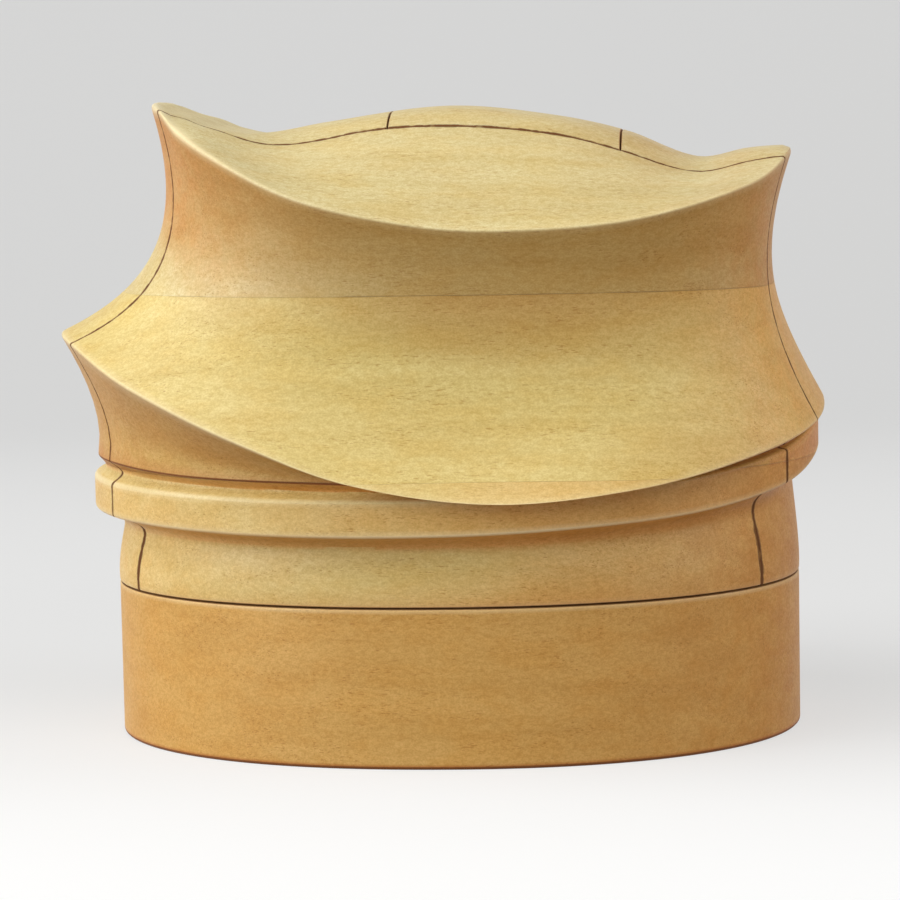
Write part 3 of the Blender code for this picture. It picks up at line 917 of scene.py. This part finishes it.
def build_plinth():
    """Straight oval plinth with eased edges and a bore for each dowel."""
    mesh = marked_mesh()
    reach = HEAD.reach(PLAN_ANGLES)
    rounding = [(PLINTH_EDGE * (1 - math.sin(lean)), PLINTH_EDGE * (1 - math.cos(lean)))
                for lean in quarter_turn(CORNER_STEPS)]
    # The foot's edge is darkened as a painted contact shadow, and the top edge is rubbed with a painted
    # highlight
    profile = [(inset, height, PLINTH_FOOT_PAINTED_SHADOW) for inset, height in rounding]
    profile += [(0.0, height, 0.0)
                for height in (2 * PLINTH_EDGE, PLINTH_TOP / 2, PLINTH_TOP - 2 * PLINTH_EDGE)]
    profile += [(inset, PLINTH_TOP - height, PLINTH_TOP_RUB_AND_HIGHLIGHT) for inset, height in reversed(rounding)]
    rings = [marked_ring(mesh, reach - inset, [height] * AROUND, [mark] * AROUND)
             for inset, height, mark in profile]
    mesh.faces.new(reversed(rings[0]))
    mesh.faces.new(rings[-1])
    walled(mesh, rings)
    plinth = placed("plinth_turning", finished(mesh, "plinth_turning"), TIMBERS["plinth"])
    holes = [dowel_centre(node) for node in DOWELS]
    bored(plinth, holes, DOWEL_LOW.z - DOWEL_PLAY, PLINTH_TOP + BORE_OVERSHOOT)
    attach(plinth, "plinth")
    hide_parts("base_plinth")


def build_dowel(node):
    """Turned dowel with a narrow foot and a rounded nose."""
    low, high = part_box(node)
    nose = DOWEL_RADIUS - DOWEL_NOSE
    profile = [(nose, low.z), (DOWEL_RADIUS, low.z + DOWEL_NOSE)]
    profile += [(nose + DOWEL_NOSE * math.cos(lean), high.z - DOWEL_NOSE * (1 - math.sin(lean)))
                for lean in quarter_turn(CORNER_STEPS)]
    name = node + "_turning"
    dowel = placed(name, turned(name, [dowel_centre(node)], profile), TIMBERS["dowel"])
    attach(dowel, "plinth")
    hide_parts(node)


def build_piece(crown, piece):
    """One puzzle piece, sawn from the whole carved crown, as its three glued boards."""
    block = crown.copy()
    boxes = [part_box(f"{piece}_{board}_board") for board in BOARDS]
    for axis, cuts in ((X, CUTS_X), (Y, CUTS_Y)):
        low = min(box[0][axis] for box in boxes)
        high = max(box[1][axis] for box in boxes)
        for side, reach in ((-1, low), (1, high)):
            if any(abs(reach - cut) < AT_CUT for cut in cuts):
                sawn(block, axis, reach, side)
    for board, low, high in BOARD_HEIGHTS:
        name = f"{piece}_{board}_carving"
        item = placed(name, finished(board_between(block, low, high), name), TIMBERS[f"{board}_board"])
        if board == "lower":
            holes = [dowel_centre(dowel) for dowel in DOWELS if dowel.startswith(piece)]
            bored(item, holes, PLINTH_TOP, DOWEL_HIGH.z + DOWEL_PLAY)
        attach(item, piece)
        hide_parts(f"{piece}_{board}_board")
    block.free()


build_plinth()
for dowel_node in DOWELS:
    build_dowel(dowel_node)
whole_crown = crown_bmesh()
for piece_name in PIECES:
    build_piece(whole_crown, piece_name)
whole_crown.free()

# Camera, worked out from the photograph, whose side and focal length are in pixels
PHOTO_SIZE = 900
PHOTO_FOCAL_LENGTH = 3048
CAMERA_TARGET = Vector((-0.0023, 0.0, 0.0798))
CAMERA_AZIMUTH = 4.5
CAMERA_ELEVATION = 5.76
CAMERA_DISTANCE = 0.90
CAMERA_ROLL = math.radians(-1.14)
CAMERA_SENSOR = 36.0
CAMERA_LENS = CAMERA_SENSOR * PHOTO_FOCAL_LENGTH / PHOTO_SIZE
CAMERA_CLIP_START = 0.01

# Paper floor and backdrop: profile, and how brightly the camera sees each part, brighter in front and
# dimmer up the backdrop as a painted fall-off of the light
FLOOR_NEAR = -2.5
FLOOR_FAR = 0.9
SWEEP_RADIUS = 0.5
SWEEP_STEPS = 12
BACKDROP_TOP = 3.0
STUDIO_HALF_WIDTH = 3.0
PAPER = (0.25, 0.25, 0.25)
PAPER_GLOW = (1.0, 1.0, 0.99)
PAPER_ROUGHNESS = 0.9
PAPER_SPECULAR = 0.2
FRONT_GLOW = 0.72
FLOOR_GLOW = 0.55
BACKDROP_GLOW = 0.49
FLOOR_TO_FRONT = (0.10, -0.25)
FLOOR_TO_BACKDROP = (0.40, 1.30)

# World: how strongly it lights the object, and how brightly the camera sees it
WORLD_COLOUR = (1.0, 1.0, 1.0, 1.0)
WORLD_STRENGTH = 0.15
WORLD_GLOW = 0.66

# Lamps: turn from the front, to the right, and rise, in degrees, and power in watts
LAMP_TARGET = Vector((0.0, 0.0, 0.1))
LAMP_DISTANCE = 1.5
LAMP_SIZE = 0.7
LAMPS = (
    ("lamp_front_high", -30, 60, 5.2),
    ("lamp_front_low", -45, 8, 4.6),
    ("lamp_left_front", -66, 22, 8.6),
    ("lamp_left", -90, 30, 3.8),
    ("lamp_left_high", -90, 60, 4.4),
    ("lamp_right_front", 38, 30, 4.1),
    ("lamp_right_low", 70, 8, 2.8),
    ("lamp_right", 90, 30, 4.8),
)


def direction(turn, rise):
    """Unit vector at a turn from the front, to the right, and a rise, in degrees."""
    turn, rise = math.radians(turn), math.radians(rise)
    return Vector((math.sin(turn) * math.cos(rise), -math.cos(turn) * math.cos(rise), math.sin(rise)))


def build_camera():
    """Camera that sees the object as the photograph does."""
    back = direction(CAMERA_AZIMUTH, CAMERA_ELEVATION)
    right = (-back).cross(Vector((0, 0, 1))).normalized()
    up = right.cross(-back)
    rolled_right = math.cos(CAMERA_ROLL) * right + math.sin(CAMERA_ROLL) * up
    rolled_up = math.cos(CAMERA_ROLL) * up - math.sin(CAMERA_ROLL) * right
    data = bpy.data.cameras.new("camera")
    data.sensor_width = CAMERA_SENSOR
    data.lens = CAMERA_LENS
    data.clip_start = CAMERA_CLIP_START
    camera = placed("camera", data)
    turn = Matrix((rolled_right, rolled_up, back)).transposed().to_4x4()
    camera.matrix_world = Matrix.Translation(CAMERA_TARGET + CAMERA_DISTANCE * back) @ turn
    bpy.context.scene.camera = camera


def studio_paper():
    """Matt paper that lights the object as a mid grey, and that the camera sees as nearly white, brightest
    in front as painted fall-off.
    """
    material = bpy.data.materials.new("studio_paper")
    material.use_nodes = True
    n = Nodes(material)
    depth = n.xyz(n.add("ShaderNodeNewGeometry").outputs["Position"])[Y]
    # Brighter in front of the object and dimmer up the backdrop: painted fall-off of the light
    glow = n.plus(n.band(depth, *FLOOR_TO_FRONT, FLOOR_GLOW, FRONT_GLOW),
                  n.band(depth, *FLOOR_TO_BACKDROP, 0.0, BACKDROP_GLOW - FLOOR_GLOW))
    shader = material.node_tree.nodes["Principled BSDF"]
    shader.inputs["Base Color"].default_value = (*PAPER, 1.0)
    shader.inputs["Emission Color"].default_value = (*PAPER_GLOW, 1.0)
    n.feed(shader.inputs["Emission Strength"], n.times(n.seen(), glow))
    shader.inputs["Roughness"].default_value = PAPER_ROUGHNESS
    shader.inputs["Specular IOR Level"].default_value = PAPER_SPECULAR
    return material


def build_studio():
    """Pale floor that sweeps up into a backdrop."""
    mesh = bmesh.new()
    profile = [(FLOOR_NEAR, 0.0)]
    profile += [(FLOOR_FAR + SWEEP_RADIUS * math.sin(lean), SWEEP_RADIUS * (1 - math.cos(lean)))
                for lean in quarter_turn(SWEEP_STEPS)]
    profile.append((FLOOR_FAR + SWEEP_RADIUS, BACKDROP_TOP))
    rows = [[mesh.verts.new((x, y, z)) for x in (-STUDIO_HALF_WIDTH, STUDIO_HALF_WIDTH)]
            for y, z in profile]
    for front, behind in zip(rows, rows[1:]):
        mesh.faces.new((front[0], front[1], behind[1], behind[0]))
    data = bpy.data.meshes.new("studio_sweep")
    mesh.to_mesh(data)
    mesh.free()
    data.shade_smooth()
    sweep_object = placed("studio_sweep", data, studio_paper())


def build_lights():
    """Plain even light, and square lamps that all aim at the object from the same distance."""
    world = bpy.data.worlds.new("studio")
    bpy.context.scene.world = world
    world.use_nodes = True
    background = world.node_tree.nodes["Background"]
    background.inputs["Color"].default_value = WORLD_COLOUR
    n = Nodes(world)
    n.feed(background.inputs["Strength"], n.band(n.seen(), 0.0, 1.0, WORLD_STRENGTH, WORLD_GLOW))
    for name, turn, rise, power in LAMPS:
        out = direction(turn, rise)
        data = bpy.data.lights.new(name, "AREA")
        data.size = LAMP_SIZE
        data.energy = power
        lamp = placed(name, data)
        lamp.location = LAMP_TARGET + LAMP_DISTANCE * out
        lamp.rotation_euler = out.to_track_quat("Z", "Y").to_euler()


build_camera()
build_studio()
build_lights()
bpy.context.scene.view_settings.view_transform = "Standard"
